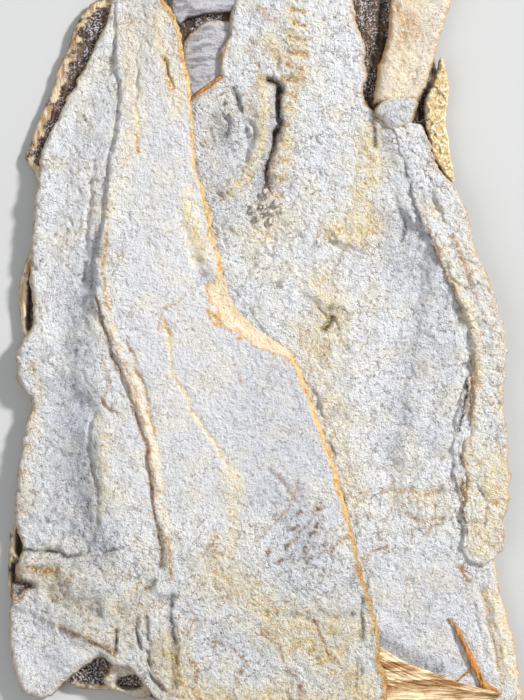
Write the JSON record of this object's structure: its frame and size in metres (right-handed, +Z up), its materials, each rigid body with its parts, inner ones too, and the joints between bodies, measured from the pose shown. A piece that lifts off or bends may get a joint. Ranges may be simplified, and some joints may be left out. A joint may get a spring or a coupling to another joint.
{
  "type": "salted dried ling",
  "caption": "Whole split salted dried fish, doubled over and pressed flat, flesh side up, white with a salt crust.",
  "frame": {"origin": "centre of the underside's bounding rectangle, on the surface the fish lies on", "axes": "+Z up from that surface, +Y along the fish towards the tail ends, +X across it to the belly side"},
  "size_m": [0.3093, 0.4946, 0.025],
  "materials": {
    "flesh": "matte salt crust over dry white flesh",
    "skin": "dry brown scaly skin dusted with salt",
    "rim": "dry yellow fat and sinew along the cut edges, slightly glossy"
  },
  "bodies": {
    "root": {"ling": "flesh"}
  },
  "joints": []
}
